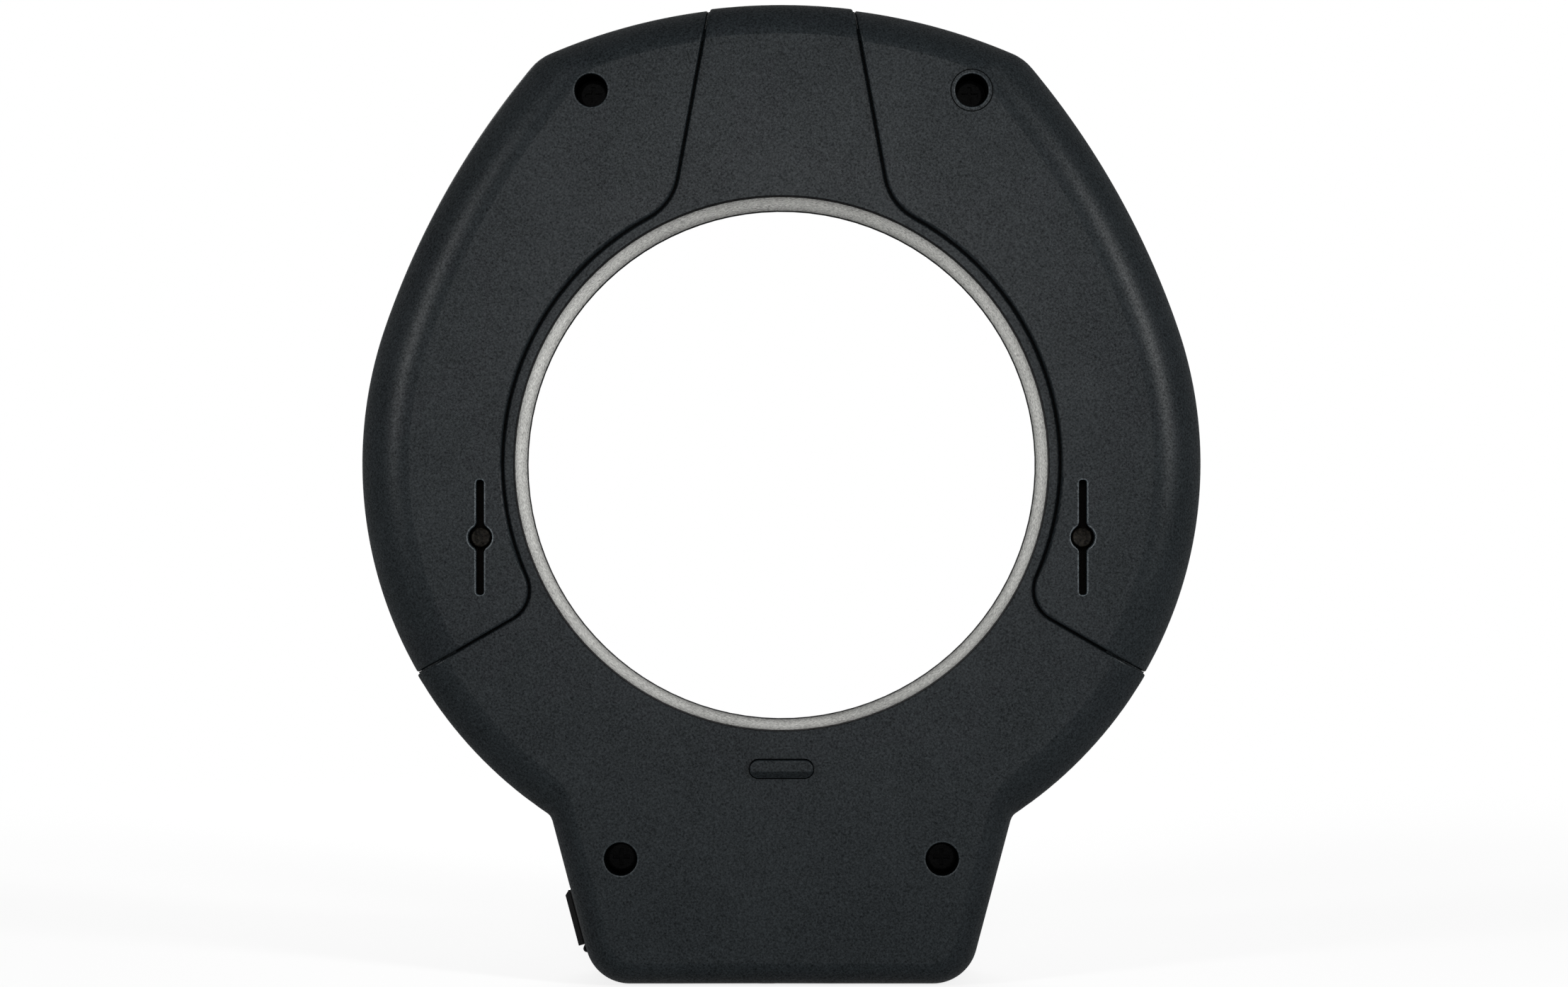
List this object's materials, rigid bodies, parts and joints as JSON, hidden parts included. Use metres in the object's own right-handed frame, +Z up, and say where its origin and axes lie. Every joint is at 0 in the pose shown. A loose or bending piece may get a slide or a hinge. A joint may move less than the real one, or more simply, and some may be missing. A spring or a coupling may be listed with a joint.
{
  "type": "macro led ring light",
  "caption": "Ring-shaped LED light that fits round a camera lens, with side light windows, a control foot and a capped power socket.",
  "frame": {"origin": "centre of the lens opening, in the plane of the rear face", "axes": "+Y along the opening towards the camera that carries the light, +Z up, away from the foot"},
  "size_m": [0.1312, 0.0308, 0.1525],
  "materials": {
    "body_plastic": "fine moulded texture, satin",
    "front_plastic": "fine moulded texture, satin",
    "liner_grey": "bead-blasted, speckled",
    "trough_plastic": "dull",
    "black_screw": "blackened",
    "insert_brass": "knurled",
    "window_milk": "milky, satin",
    "reflector_white": "satin",
    "circuit_board": "lacquered",
    "led_package": "clear resin over phosphor",
    "heat_plate": "rolled",
    "chip_black": "moulded",
    "small_screw": "zinc plated",
    "display_panel": "smooth",
    "display_glass": "clear, dark tinted",
    "foam_pad": "foam",
    "battery_wrap": "foil pouch",
    "ribbon_film": "smooth film",
    "button_rubber": "soft matte",
    "plunger_plastic": "smooth",
    "switch_metal": "stamped",
    "socket_plastic": "smooth",
    "contact_metal": "bright",
    "flap_plastic": "glossy",
    "seal_rubber": "soft"
  },
  "bodies": {
    "housing": {"back_cover": "body_plastic", "battery_cell": "battery_wrap", "battery_pad": "foam_pad", "board_components": "chip_black", "board_header": "chip_black", "board_screws": "small_screw", "bore_liner": "liner_grey", "button_switches": "switch_metal", "control_board": "circuit_board", "cover_screws": "black_screw", "dc_socket": "socket_plastic", "dc_socket_pin": "contact_metal", "display_module": "display_panel", "display_window": "display_glass", "flap_pin": "contact_metal", "front_shell": "front_plastic", "left_heat_plate": "heat_plate", "left_led_board": "circuit_board", "left_leds": "led_package", "left_reflector": "reflector_white", "left_ribbon_cable": "ribbon_film", "left_side_panel": "body_plastic", "left_slot_insert": "trough_plastic", "left_window": "window_milk", "main_board": "circuit_board", "panel_screws": "black_screw", "rear_button_switch": "switch_metal", "ribbon_connectors": "chip_black", "right_heat_plate": "heat_plate", "right_led_board": "circuit_board", "right_leds": "led_package", "right_reflector": "reflector_white", "right_ribbon_cable": "ribbon_film", "right_side_panel": "body_plastic", "right_slot_insert": "trough_plastic", "right_window": "window_milk", "screw_inserts": "insert_brass"},
    "rear_button": {"rear_button": "body_plastic", "rear_button_plunger": "plunger_plastic"},
    "socket_flap": {"socket_flap": "flap_plastic", "flap_seal": "seal_rubber"},
    "power_button": {"power_button": "button_rubber", "power_plunger": "plunger_plastic"},
    "mode_button": {"mode_button": "button_rubber", "mode_plunger": "plunger_plastic"},
    "minus_button": {"minus_button": "button_rubber", "minus_plunger": "plunger_plastic"},
    "plus_button": {"plus_button": "button_rubber", "plus_plunger": "plunger_plastic"}
  },
  "joints": [
    {"name": "rear_button_press", "type": "slide", "parent": "housing", "child": "rear_button", "axis": [0, -1, 0], "range_m": [0, 0.0005], "stiffness_N_per_m": 400},
    {"name": "power_button_press", "type": "slide", "parent": "housing", "child": "power_button", "axis": [0, 1, 0], "range_m": [0, 0.0005], "stiffness_N_per_m": 400},
    {"name": "mode_button_press", "type": "slide", "parent": "housing", "child": "mode_button", "axis": [0, 1, 0], "range_m": [0, 0.0005], "stiffness_N_per_m": 400},
    {"name": "minus_button_press", "type": "slide", "parent": "housing", "child": "minus_button", "axis": [0, 1, 0], "range_m": [0, 0.0005], "stiffness_N_per_m": 400},
    {"name": "plus_button_press", "type": "slide", "parent": "housing", "child": "plus_button", "axis": [0, 1, 0], "range_m": [0, 0.0005], "stiffness_N_per_m": 400},
    {"name": "flap_hinge", "type": "hinge", "parent": "housing", "child": "socket_flap", "pos_m": [0.03081, -0.0191, -0.07671], "axis": [0, 1, 0], "range_deg": [0, 100]}
  ]
}
